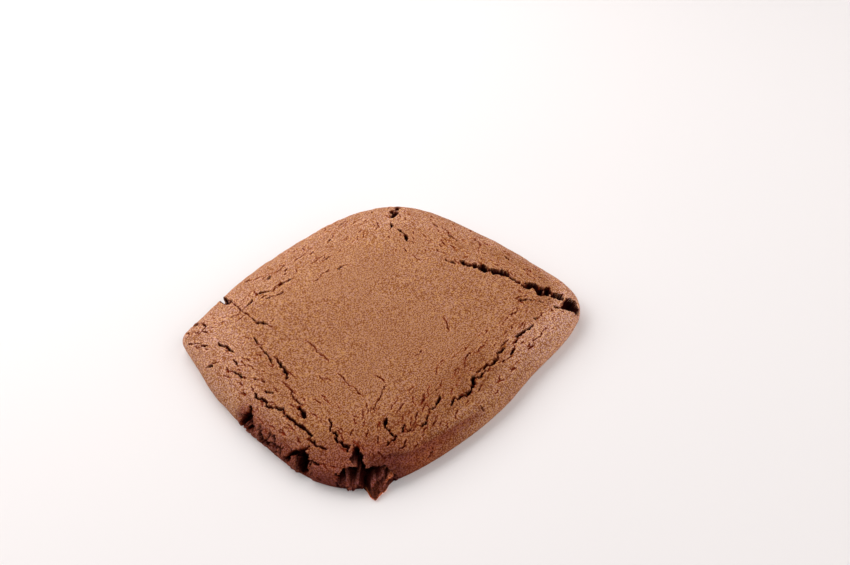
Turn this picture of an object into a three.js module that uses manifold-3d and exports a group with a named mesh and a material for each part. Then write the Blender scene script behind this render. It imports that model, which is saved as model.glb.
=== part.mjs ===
// A square speculaas: one pillow of baked dough with a rolled rim and rounded corners. Its face is
// cracked along the borders, its left side is crumbled, and one corner is torn open over a loose flake.
import * as THREE from 'three';
import { mergeVertices } from 'three/addons/utils/BufferGeometryUtils.js';
import { ImprovedNoise } from 'three/addons/math/ImprovedNoise.js';
import Module from 'manifold-3d';

const wasm = await Module();
wasm.setup();

// Driving dimensions, in millimetres and degrees. +X runs along the front edge, +Y away from it, +Z up.
const LENGTH = 132.5;
const WIDTH = 119.5;
const HEIGHT = 12.5;
const GIRTH_HEIGHT = 4;
const FOOT_INSET = 1.2;

// The rim rolls down over this distance, with a superelliptic section of this power.
const ROLL = 18;
const ROLL_POWER = 2.1;

// Squareness of the corners at 45, 135, 225 and 315 degrees, and the slow waves of the edge.
const CORNER_POWERS = [3.4, 3, 3.7, 6.5];
const EDGE_WAVES = [
  { lobes: 2, rise: 1.7, phase: -169 },
  { lobes: 3, rise: 0.47, phase: 5 },
  { lobes: 4, rise: 1.08, phase: 3 },
  { lobes: 5, rise: 0.66, phase: -81 },
];

// The corners at the left and at the right are drawn out to blunt tips.
const EDGE_TIPS = [
  { at: 136.4, rise: 6.1, spread: 8.4 },
  { at: 310.7, rise: 3, spread: 16 },
];

// Unevenness of the face, and of the crumbled side with the middle and half spread of its stretch.
const SWELL = 0.35;
const SWELL_SPAN = 34;
const CRUMBLE = 1.8;
const CRUMBLE_BULGE = 0.5;
const CRUMBLE_SPAN = 4.2;
const CRUMBLE_MIDDLE = 198;
const CRUMBLE_SPREAD = 30;

// A soft crease under the roll of the front side.
const CREASE = 0.9;
const CREASE_HEIGHT = 7.2;
const CREASE_REACH = 2.2;
const CREASE_MIDDLE = 247;
const CREASE_SPREAD = 22;

// Facets round the edge, gathered towards the crumbled side.
const SEGMENTS = 132;
const GATHER = 0.4;

// Rings of the section: height and inset of the side, insets of the roll, shares of the flat middle.
const SIDE_RINGS = [
  [0, FOOT_INSET],
  [1, 0.45 * FOOT_INSET],
  [2.2, 0.1 * FOOT_INSET],
  [GIRTH_HEIGHT, 0],
];
const ROLL_RINGS = [0.4, 1.3, 2.7, 4.8, 7.8, 12, ROLL];
const FACE_RINGS = [0.7, 0.35];

// A crack is a wedge along a hand-set route over the face. It is cut from clear above the face, its
// floor keeps a share of its width, and it tapers to a sliver at both tips.
const CRACK_STEP = 1.9;
const CRACK_CLEAR = 2;
const CRACK_FLOOR = 0.35;
const CRACK_TIP = 0.14;
const CRACK_TAPER = 0.6;
const CRACK_JITTER = 0.45;

const CRACKS = [
  // Along the left border, from the back to the torn corner.
  { wide: 0.9, deep: 2.5, route: [[-51, 35], [-49.8, 31.5], [-50, 28.5], [-49.5, 26]] },
  { wide: 0.9, deep: 2.5, route: [[-40, 27], [-41.2, 21.5], [-42, 16], [-43.6, 11]] },
  { wide: 1.9, deep: 4, route: [[-41, 13], [-41.6, 9], [-42.6, 5], [-44.8, 0.6]] },
  { wide: 0.9, deep: 2.5, route: [[-46.5, 0.5], [-47, -3.5], [-49, -7.5], [-48.4, -12]] },
  { wide: 1.4, deep: 3, route: [[-50.2, -11.5], [-50.8, -14.5], [-51.3, -17.5]] },
  { wide: 0.9, deep: 2.5, route: [[-55, 19.5], [-54.8, 16], [-54.2, 13]] },
  { wide: 1.2, deep: 3, route: [[-56.3, 6], [-57, 3.3], [-56, 0], [-57, -2.3], [-54.6, -8]] },
  { wide: 1.2, deep: 3, route: [[-55.6, -9.5], [-54.8, -14], [-54.5, -20], [-55, -25.5]] },
  { wide: 0.9, deep: 2.5, route: [[-56.6, -23.8], [-56.2, -28], [-55.2, -32.5]] },
  { wide: 1.2, deep: 3, route: [[-45.8, -24], [-48.8, -28], [-48.8, -30.5], [-50.4, -33], [-50, -38.5]] },
  { wide: 3.2, deep: 6, route: [[-47.4, -39.6], [-50, -41.4], [-53, -44.4], [-56, -47]] },
  // Fissures that run out over the crumbled side and the left corner.
  { wide: 2.6, deep: 7, route: [[-60.2, 3], [-63, 2], [-66, 1.4], [-70, 1]] },
  { wide: 1.6, deep: 5, route: [[-62.6, -8], [-65, -9.4], [-69, -10.4]] },
  { wide: 1.6, deep: 6, route: [[-61.4, -24.4], [-63.6, -22.6], [-66, -20.8], [-70, -19.4]] },
  { wide: 3.4, deep: 8, route: [[-58.4, -26], [-60.6, -25.6], [-63, -28.2], [-69, -31]] },
  { wide: 1.5, deep: 3, route: [[-57.8, 29.4], [-59.4, 30.6], [-61.5, 31.6], [-66, 33]] },
  { wide: 1.2, deep: 2.5, route: [[-53.6, 36.8], [-55.2, 39.4], [-57.4, 41]] },
  // Along the back border and round the far corner.
  { wide: 2.2, deep: 6, route: [[-36, 64], [-35.4, 58], [-35.2, 53], [-34.8, 48.4]] },
  { wide: 0.8, deep: 2.5, route: [[-34.6, 49], [-34.3, 43], [-34.3, 33]] },
  { wide: 1.4, deep: 3, route: [[-34.8, 32.6], [-33.4, 30.6], [-32.2, 28.6], [-32, 26]] },
  { wide: 1.2, deep: 3, route: [[-51.6, 60], [-51, 55], [-49.8, 51]] },
  { wide: 1, deep: 2.5, route: [[-31.6, 41.9], [-28, 43.6], [-23.6, 44.2], [-19.6, 41.8]] },
  { wide: 1, deep: 2.5, route: [[-19, 41.7], [-13, 41.5], [-9, 40.3]] },
  { wide: 1, deep: 2.5, route: [[-18, 49.5], [-16, 48.7], [-13, 49.1]] },
  { wide: 2.2, deep: 4, route: [[44.8, 36.2], [46.4, 38.2], [48.2, 41.4]] },
  { wide: 1.6, deep: 4, route: [[50, 39], [52, 41], [53.6, 42.6]] },
  { wide: 1.1, deep: 2.5, route: [[41, 34.6], [39.6, 32.3], [38, 31.5]] },
  { wide: 1.2, deep: 3, route: [[40.5, 29], [40, 24], [37.2, 20]] },
  // Along the right border, opening into the hole at its front end.
  { wide: 1, deep: 2.5, route: [[52.8, 21], [53.4, 14], [52.8, 10.5]] },
  { wide: 1, deep: 2.5, route: [[51.6, 9.5], [51.2, 6.5], [50.8, 4.5]] },
  { wide: 1, deep: 2.5, route: [[57.4, 0.5], [57, -3], [56, -5.5]] },
  { wide: 1.2, deep: 2.5, route: [[56.8, -15.5], [57, -18], [56, -20.5]] },
  { wide: 1.1, deep: 2.5, route: [[38.5, 0], [39, -3], [40, -5.5]] },
  { wide: 1.9, deep: 4, route: [[41.8, -6.4], [43, -11], [45.4, -15.4]] },
  { wide: 2.2, deep: 5, route: [[44.8, -14.4], [46.7, -19.5], [48.3, -24], [48.1, -28]] },
  { wide: 1.6, deep: 4, route: [[48, -27], [47.8, -31.5], [49, -36], [50, -39.4]] },
  { wide: 3.2, deep: 6, route: [[48.6, -39.2], [50, -43], [52.2, -46.4], [52.8, -50]] },
  { wide: 2, deep: 4, route: [[46.4, -49.6], [48.4, -52], [51.4, -53.4], [54, -53.6]] },
  { wide: 0.9, deep: 2.5, route: [[40.6, -38.3], [42.5, -41], [44.6, -43.4]] },
  // Along the front border, from the torn corner to the right.
  { wide: 1.4, deep: 3, route: [[-33, -39], [-35.8, -41], [-36.3, -45], [-36.6, -47.6]] },
  { wide: 1, deep: 2.5, route: [[-33.4, -47.2], [-30.6, -45.8]] },
  { wide: 1, deep: 2.5, route: [[-27.4, -50.2], [-23.4, -49.6], [-20.6, -48.3], [-13.6, -46.9]] },
  { wide: 1.4, deep: 3, route: [[-14, -52.1], [-10.6, -51.2], [-7, -52.3], [-3.8, -53]] },
  { wide: 2.2, deep: 4, route: [[-3.6, -52.8], [-0.6, -50.8], [2.6, -51.3], [6.4, -51.2]] },
  { wide: 1.4, deep: 3, route: [[3.4, -49], [7.4, -49.8], [12.6, -51.2]] },
  { wide: 1, deep: 2.5, route: [[14.6, -49.1], [18.4, -49.4]] },
  { wide: 0.9, deep: 2.5, route: [[13.6, -53], [17, -53.3], [22.4, -52.1]] },
  { wide: 1.5, deep: 3, route: [[24.6, -48.8], [29, -49.8], [34.4, -50.6]] },
  { wide: 1, deep: 2.5, route: [[35.6, -49.2], [38.6, -49.6]] },
];

// Hollows are lumpy ellipsoids: where each is centred, its half sizes and its turn about +Z. The first
// undercuts the torn corner, the second ends the right-hand cracks, and the others pit the crumbled side.
const HOLLOW_DETAIL = 2;
const HOLLOW_LUMPS = 0.22;
const HOLLOW_LUMP_SPAN = 0.5;
const TORN_CORNER = [-52.4, -47];
const TORN_TURN = -43;
const HOLLOWS = [
  { at: [...TORN_CORNER, 8.2], half: [8.6, 2.4, 2.2], turn: TORN_TURN },
  { at: [53.4, -53.4, 8.6], half: [2.7, 2.3, 3.4], turn: 20 },
  { at: [-65.4, -13, 4.6], half: [2.2, 2.1, 1.9], turn: 0 },
  { at: [-65.2, -4, 5.4], half: [2, 1.5, 1.5], turn: 0 },
];

// A fan of narrow hollows, set along the torn corner, leaves thin ridges of crumb standing in it.
const TORN_FAN = [-7.2, -4.2, -1.2, 1.8, 4.8];
const FAN_HEIGHT = 5.4;
const FAN_HALF = [1.35, 3, 3];

// The flake of bottom crust that sticks out under the torn corner, narrowing to its tip.
const FLAKE_ROOT = [-48.6, -44.8];
const FLAKE_TIP = [-53.6, -53];
const FLAKE_WIDTH = 9;
const FLAKE_TIP_SHARE = 0.34;
const FLAKE_THICK = 3.4;
const FLAKE_TIP_THICK = 1.5;
const FLAKE_RAGGED_EDGE = 0.12;
const FLAKE_RAGGED_TOP = 0.3;
const FLAKE_RAGGED_SPAN = 0.33;

const NOISE = new ImprovedNoise();

// The shortest signed turn between two directions.
function turnBetween(angle, other) {
  return Math.atan2(Math.sin(angle - other), Math.cos(angle - other));
}

// One at the middle of a stretch of the edge, fading smoothly to nothing at its ends.
function stretch(angle, middle, spread) {
  const away = Math.abs(turnBetween(angle, THREE.MathUtils.degToRad(middle)));
  return 1 - THREE.MathUtils.smoothstep(away, 0, 2 * THREE.MathUtils.degToRad(spread));
}

// Distance of the girth from the outline's own middle: a superellipse whose squareness turns from
// corner to corner, with the slow waves and the drawn-out tips added.
function edgeRadius(angle) {
  let power = 0;
  CORNER_POWERS.forEach((corner, index) => {
    const away = Math.abs(turnBetween(angle, (index + 0.5) * Math.PI / 2));
    power += away < Math.PI / 2 ? corner * Math.cos(away) ** 2 : 0;
  });
  const along = Math.abs(2 * Math.cos(angle) / LENGTH) ** power;
  const across = Math.abs(2 * Math.sin(angle) / WIDTH) ** power;
  let radius = (along + across) ** (-1 / power);
  for (const { lobes, rise, phase } of EDGE_WAVES) {
    radius += rise * Math.cos(lobes * angle - THREE.MathUtils.degToRad(phase));
  }
  for (const { at, rise, spread } of EDGE_TIPS) {
    const off = turnBetween(angle, THREE.MathUtils.degToRad(at)) / THREE.MathUtils.degToRad(spread);
    radius += rise * Math.exp(-(off ** 2));
  }
  return radius;
}

// Middle of the outline's box, which is put over the origin.
function outlineMiddle() {
  const box = new THREE.Box2();
  for (let degree = 0; degree < 360; degree += 0.5) {
    const angle = THREE.MathUtils.degToRad(degree);
    box.expandByPoint(new THREE.Vector2(Math.cos(angle), Math.sin(angle)).multiplyScalar(edgeRadius(angle)));
  }
  return box.getCenter(new THREE.Vector2());
}

const MIDDLE = outlineMiddle();

// Height of the face over a place this far in from the girth, before the swell.
function rollHeight(inset) {
  const outward = THREE.MathUtils.clamp(1 - inset / ROLL, 0, 1);
  return GIRTH_HEIGHT + (HEIGHT - GIRTH_HEIGHT) * (1 - outward ** ROLL_POWER) ** (1 / ROLL_POWER);
}

// Slow rise and fall of the baked face, fading out towards the girth.
function swell(x, y, inset) {
  return SWELL * NOISE.noise(x / SWELL_SPAN, y / SWELL_SPAN, 0.5) * Math.min(1, inset / ROLL);
}

// Height of the face over any place in plan.
function faceHeight(x, y) {
  const radius = Math.hypot(x + MIDDLE.x, y + MIDDLE.y);
  const inset = Math.max(0, edgeRadius(Math.atan2(y + MIDDLE.y, x + MIDDLE.x)) - radius);
  return rollHeight(inset) + swell(x, y, inset);
}

// How far the side is eaten in at a height: crags of the crumbled stretch and the front crease.
function sideLoss(angle, x, y, z) {
  const crags = NOISE.noise(x / CRUMBLE_SPAN, y / CRUMBLE_SPAN, z / CRUMBLE_SPAN);
  const tall = Math.sin(Math.PI * THREE.MathUtils.clamp(z / HEIGHT, 0, 1));
  const crumbled = Math.max(-CRUMBLE_BULGE, CRUMBLE * crags * tall);
  const level = THREE.MathUtils.clamp(1 - Math.abs(z - CREASE_HEIGHT) / CREASE_REACH, 0, 1);
  return crumbled * stretch(angle, CRUMBLE_MIDDLE, CRUMBLE_SPREAD)
    + CREASE * level * stretch(angle, CREASE_MIDDLE, CREASE_SPREAD);
}

// A closed geometry with shared corners, as a solid that can be joined and cut.
function solidOf(geometry) {
  geometry.deleteAttribute('normal');
  geometry.deleteAttribute('uv');
  const merged = mergeVertices(geometry, 1e-4);
  const vertProperties = new Float32Array(merged.attributes.position.array);
  const triVerts = new Uint32Array(merged.index.array);
  return new wasm.Manifold(new wasm.Mesh({ numProp: 3, vertProperties, triVerts }));
}

// Moves each corner of a geometry by a rule that changes the point in place.
function reshape(geometry, rule) {
  const positions = geometry.attributes.position;
  const point = new THREE.Vector3();
  for (let index = 0; index < positions.count; index += 1) {
    point.fromBufferAttribute(positions, index);
    rule(point);
    positions.setXYZ(index, point.x, point.y, point.z);
  }
  return geometry;
}

// The whole pillow: a lathe of the section, drawn out to the outline.
function pillow() {
  const nominal = LENGTH / 2;
  const section = [new THREE.Vector2(0, 0)];
  SIDE_RINGS.forEach(([height, inset]) => section.push(new THREE.Vector2(nominal - inset, height)));
  ROLL_RINGS.forEach((inset) => section.push(new THREE.Vector2(nominal - inset, rollHeight(inset))));
  FACE_RINGS.forEach((share) => section.push(new THREE.Vector2((nominal - ROLL) * share, HEIGHT)));
  section.push(new THREE.Vector2(0, HEIGHT));
  const lathe = new THREE.LatheGeometry(section, SEGMENTS).rotateX(Math.PI / 2);
  const crumbled = THREE.MathUtils.degToRad(CRUMBLE_MIDDLE);
  return solidOf(reshape(lathe, (point) => {
    const turned = Math.atan2(point.y, point.x);
    const angle = turned - GATHER * Math.sin(turned - crumbled);
    const edge = edgeRadius(angle);
    const inset = nominal - Math.hypot(point.x, point.y);
    const flat = (edge - ROLL) * (nominal - inset) / (nominal - ROLL);
    let radius = inset > ROLL ? flat : edge - inset;
    const place = [radius * Math.cos(angle) - MIDDLE.x, radius * Math.sin(angle) - MIDDLE.y];
    radius -= inset < ROLL ? sideLoss(angle, ...place, point.z) : 0;
    const rise = point.z > GIRTH_HEIGHT ? swell(...place, inset) : 0;
    const x = radius * Math.cos(angle) - MIDDLE.x;
    const y = radius * Math.sin(angle) - MIDDLE.y;
    point.set(x, y, point.z + rise);
  }));
}

// The wedge that opens one crack, a long box bent along the route and tapered to both tips.
function crackWedge({ wide, deep, route }) {
  const curve = new THREE.CatmullRomCurve3(route.map(([x, y]) => new THREE.Vector3(x, y, 0)));
  const steps = Math.max(2, Math.round(curve.getLength() / CRACK_STEP));
  return solidOf(reshape(new THREE.BoxGeometry(1, 1, 1, steps), (point) => {
    const share = point.x + 0.5;
    const centre = curve.getPointAt(share);
    const along = curve.getTangentAt(share);
    const taper = Math.max(CRACK_TIP, Math.sin(Math.PI * share) ** CRACK_TAPER);
    const shift = CRACK_JITTER * wide * taper * NOISE.noise(centre.x, centre.y, deep);
    const surface = faceHeight(centre.x, centre.y);
    const slope = (1 - CRACK_FLOOR) / deep;
    const drop = point.z > 0 ? -CRACK_CLEAR : deep * taper;
    const half = wide * taper * (1 - slope * (point.z > 0 ? drop : deep));
    const side = point.y * half + shift;
    point.set(centre.x - along.y * side, centre.y + along.x * side, surface - drop);
  }));
}

// A lumpy ellipsoid that is taken out of the solid.
function hollow({ at, half, turn }) {
  const ball = new THREE.IcosahedronGeometry(1, HOLLOW_DETAIL);
  const placed = new THREE.Matrix4().makeTranslation(...at);
  placed.multiply(new THREE.Matrix4().makeRotationZ(THREE.MathUtils.degToRad(turn)));
  placed.multiply(new THREE.Matrix4().makeScale(...half));
  return solidOf(reshape(ball, (point) => {
    const spot = point.clone().divideScalar(HOLLOW_LUMP_SPAN);
    const lump = NOISE.noise(spot.x + at[0], spot.y + at[1], spot.z);
    point.multiplyScalar(1 + HOLLOW_LUMPS * lump).applyMatrix4(placed);
  }));
}

// The fan of narrow hollows side by side across the torn corner.
function tornFan() {
  const turn = THREE.MathUtils.degToRad(TORN_TURN);
  return TORN_FAN.map((along) => hollow({
    at: [TORN_CORNER[0] + along * Math.cos(turn), TORN_CORNER[1] + along * Math.sin(turn), FAN_HEIGHT],
    half: FAN_HALF,
    turn: TORN_TURN,
  }));
}

// The loose flake, a slab from under the torn corner that thins and narrows to its ragged tip.
function flake() {
  const root = new THREE.Vector2(...FLAKE_ROOT);
  const reach = new THREE.Vector2(...FLAKE_TIP).sub(root);
  const along = reach.clone().normalize();
  return solidOf(reshape(new THREE.BoxGeometry(1, 1, 1, 6, 4, 1), (point) => {
    const share = point.x + 0.5;
    const width = FLAKE_WIDTH * THREE.MathUtils.lerp(1, FLAKE_TIP_SHARE, share ** 2);
    const thick = THREE.MathUtils.lerp(FLAKE_THICK, FLAKE_TIP_THICK, share);
    const ragged = NOISE.noise(point.x / FLAKE_RAGGED_SPAN, point.y / FLAKE_RAGGED_SPAN, FLAKE_THICK);
    const side = width * (point.y + FLAKE_RAGGED_EDGE * ragged);
    const x = root.x + reach.x * share - along.y * side;
    const y = root.y + reach.y * share + along.x * side;
    point.set(x, y, point.z > 0 ? thick * (1 + FLAKE_RAGGED_TOP * ragged) : 0);
  }));
}

// The finished biscuit: the pillow cracked, hollowed and joined to its flake, on the ground and centred.
function biscuitGeometry() {
  let solid = pillow().add(flake());
  CRACKS.forEach((crack) => { solid = solid.subtract(crackWedge(crack)); });
  HOLLOWS.forEach((one) => { solid = solid.subtract(hollow(one)); });
  tornFan().forEach((one) => { solid = solid.subtract(one); });
  const { vertProperties, triVerts } = solid.getMesh();
  const geometry = new THREE.BufferGeometry();
  geometry.setAttribute('position', new THREE.BufferAttribute(new Float32Array(vertProperties), 3));
  geometry.setIndex(new THREE.BufferAttribute(new Uint32Array(triVerts), 1));
  geometry.computeBoundingBox();
  const centre = geometry.boundingBox.getCenter(new THREE.Vector3());
  geometry.translate(-centre.x, -centre.y, -geometry.boundingBox.min.z);
  geometry.computeVertexNormals();
  return geometry;
}

const BAKED_DOUGH = new THREE.MeshStandardMaterial({ color: 0xa8724e, roughness: 0.9, metalness: 0 });

const biscuit = new THREE.Mesh(biscuitGeometry(), BAKED_DOUGH);
biscuit.name = 'biscuit';

const speculaas = new THREE.Group();
speculaas.add(biscuit);

export default speculaas;
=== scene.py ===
"""Looks of a square speculaas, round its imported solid: crust, cracks, crumbled side and torn corner."""
import itertools
import logging
import math
from dataclasses import dataclass, field
from enum import Enum

import bmesh
import bpy
import numpy as np
from mathutils import Matrix, Vector


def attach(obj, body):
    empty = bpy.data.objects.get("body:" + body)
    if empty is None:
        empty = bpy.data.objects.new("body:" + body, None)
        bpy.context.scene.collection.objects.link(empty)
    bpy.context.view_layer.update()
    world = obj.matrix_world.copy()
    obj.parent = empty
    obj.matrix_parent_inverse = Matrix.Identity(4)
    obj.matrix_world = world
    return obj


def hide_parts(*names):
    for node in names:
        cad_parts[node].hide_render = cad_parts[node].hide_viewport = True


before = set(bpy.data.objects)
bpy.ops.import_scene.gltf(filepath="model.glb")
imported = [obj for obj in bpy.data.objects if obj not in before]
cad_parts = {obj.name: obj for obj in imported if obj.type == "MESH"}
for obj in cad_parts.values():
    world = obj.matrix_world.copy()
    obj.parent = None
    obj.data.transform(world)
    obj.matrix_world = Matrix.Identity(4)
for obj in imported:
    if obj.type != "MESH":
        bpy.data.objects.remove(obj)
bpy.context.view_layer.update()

LOG = logging.getLogger("speculaas")
MM = 0.001

Array = np.ndarray
Point = tuple[float, float]
Place = tuple[float, float, float]
Colour = tuple[float, float, float]
Route = tuple[tuple[float, ...], ...]


def ramp(low: float | Array, high: float | Array, value: Array) -> Array:
    """Smooth step from 0 at one value to 1 at another, which may be the lower."""
    share = np.clip((value - low) / (high - low), 0.0, 1.0)
    return share * share * (3.0 - 2.0 * share)


class LatticeNoise:
    """Smooth seeded noise for whole arrays of points in space."""

    SIZE = 4096
    FACTORS = (73856093, 19349663, 83492791)
    LAYER_SHIFT = 17.0
    CELL_STRAY = 0.45

    def __init__(self, seed: int) -> None:
        """Draw the values of the lattice."""
        self.values = np.random.default_rng(seed).uniform(-1.0, 1.0, (self.SIZE, 3))

    def _at(self, keys: Array) -> Array:
        """Three drawn values for each row of whole-number lattice places."""
        mixed = np.bitwise_xor.reduce(keys * np.array(self.FACTORS), axis=1)
        return self.values[mixed % self.SIZE]

    def smooth(self, points: Array, span: float) -> Array:
        """Noise from -1 to 1 that changes over one span.

        Args:
            points: places, one row each.
            span: distance between lattice places.

        Returns:
            One value per place.
        """
        scaled = points / span
        base = np.floor(scaled).astype(np.int64)
        part = scaled - base
        ease = part * part * (3.0 - 2.0 * part)
        total = np.zeros(len(points))
        for corner in itertools.product((0, 1), repeat=3):
            weight = np.prod(np.where(np.array(corner, bool), ease, 1.0 - ease), axis=1)
            total += weight * self._at(base + np.array(corner))[:, 0]
        return total

    def layered(self, points: Array, span: float, layers: int) -> Array:
        """Noise with layers added, each half as wide and strong as the one before."""
        return sum(self.smooth(points + self.LAYER_SHIFT * k, span / 2**k) / 2**k for k in range(layers))

    def cells(self, points: Array, span: float) -> tuple[Array, Array, Array]:
        """Lumps that meet at seams.

        Args:
            points: places, one row each.
            span: usual width of a lump.

        Returns:
            Distance to the lump's middle and to its seam, in spans, and the lump's own value.
        """
        scaled = points / span
        base = np.floor(scaled).astype(np.int64)
        first = np.full(len(points), 9.0)
        second = np.full(len(points), 9.0)
        level = np.zeros(len(points))
        for shift in itertools.product((-1, 0, 1), repeat=3):
            key = base + np.array(shift)
            drawn = self._at(key)
            away = np.linalg.norm(key + 0.5 + self.CELL_STRAY * drawn - scaled, axis=1)
            closer = away < first
            second = np.where(closer, first, np.minimum(second, away))
            first = np.where(closer, away, first)
            level = np.where(closer, drawn[:, 0], level)
        return first, second - first, level


@dataclass(frozen=True)
class Wave:
    """One slow wave of the edge: its lobes, its rise in millimetres and its phase in degrees."""

    lobes: int
    rise: float
    phase: float


@dataclass(frozen=True)
class Tip:
    """A drawn-out corner: its direction in degrees, its rise in millimetres and its spread in degrees."""

    at: float
    rise: float
    spread: float


@dataclass(frozen=True)
class Outline:
    """Plan of the biscuit, in millimetres: a superellipse with unlike corners, slow waves and tips."""

    length: float = 132.5
    width: float = 119.5
    corner_powers: tuple[float, ...] = (3.4, 3.0, 3.7, 6.5)
    waves: tuple[Wave, ...] = (
        Wave(2, 1.7, -169.0), Wave(3, 0.47, 5.0), Wave(4, 1.08, 3.0), Wave(5, 0.66, -81.0),
    )
    tips: tuple[Tip, ...] = (Tip(136.4, 5.2, 9.4), Tip(136.4, 1.6, 3.4), Tip(310.7, 3.0, 16.0))

    def radius(self, angle: Array) -> Array:
        """Distance of the girth from the outline's own middle.

        Args:
            angle: directions, in radians.

        Returns:
            One distance per direction.
        """
        power = np.zeros_like(angle)
        for index, corner in enumerate(self.corner_powers):
            away = np.angle(np.exp(1j * (angle - (index + 0.5) * math.pi / 2)))
            power += np.where(np.abs(away) < math.pi / 2, corner * np.cos(away) ** 2, 0.0)
        along = np.abs(2.0 * np.cos(angle) / self.length) ** power
        across = np.abs(2.0 * np.sin(angle) / self.width) ** power
        total = (along + across) ** (-1.0 / power)
        for wave in self.waves:
            total += wave.rise * np.cos(wave.lobes * angle - math.radians(wave.phase))
        for tip in self.tips:
            off = np.angle(np.exp(1j * (angle - math.radians(tip.at))))
            total += tip.rise * np.exp(-((off / math.radians(tip.spread)) ** 2))
        return total

    def middle(self) -> Array:
        """Middle of the outline's box, which lies over the origin.

        Returns:
            Its place over the ground.
        """
        angle = np.radians(np.arange(0.0, 360.0, 0.5))
        edge = self.radius(angle)[:, None] * np.column_stack([np.cos(angle), np.sin(angle)])
        return (edge.max(axis=0) + edge.min(axis=0)) / 2.0

    def inset(self, points: Array) -> Array:
        """How far places lie inside the girth, measured towards the middle.

        Args:
            points: places, one row each.

        Returns:
            One distance per place.
        """
        plan = points[:, :2] + self.middle()
        angle = np.arctan2(plan[:, 1], plan[:, 0])
        return self.radius(angle) - np.hypot(plan[:, 0], plan[:, 1])


@dataclass(frozen=True)
class Section:
    """Section through the rim, in millimetres: a flat foot, a girth and a round roll up to the face."""

    height: float = 12.5
    girth_height: float = 4.0
    foot_inset: float = 1.2
    foot_power: float = 2.6
    roll: float = 18.0
    roll_power: float = 2.1
    samples: int = 600

    def roll_line(self) -> tuple[Array, Array, Array]:
        """The roll from its inner end out to the girth.

        Returns:
            Distance along the roll, inset and height, at many places.
        """
        turn = np.linspace(0.0, math.pi / 2, self.samples)
        outward = np.sin(turn) ** (2.0 / self.roll_power)
        upward = np.cos(turn) ** (2.0 / self.roll_power)
        inset = self.roll * (1.0 - outward)
        height = self.girth_height + (self.height - self.girth_height) * upward
        steps = np.hypot(np.diff(inset), np.diff(height))
        return np.concatenate([[0.0], np.cumsum(steps)]), inset, height

    def foot(self, height: Array) -> Array:
        """Inset of the side at heights below the girth."""
        return self.foot_inset * (1.0 - height / self.girth_height) ** self.foot_power


@dataclass(frozen=True)
class Crack:
    """A crack in the crust: its width in millimetres, its turns in plan or space, its depth in widths."""

    wide: float
    route: Route
    steep: float = 2.4


def opened(*rows: Crack | tuple[float | tuple[float, ...], ...]) -> tuple[Crack, ...]:
    """Cracks from rows of a width and then the turns; one with a depth of its own is given whole."""
    return tuple(row if isinstance(row, Crack) else Crack(row[0], row[1:]) for row in rows)


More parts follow.
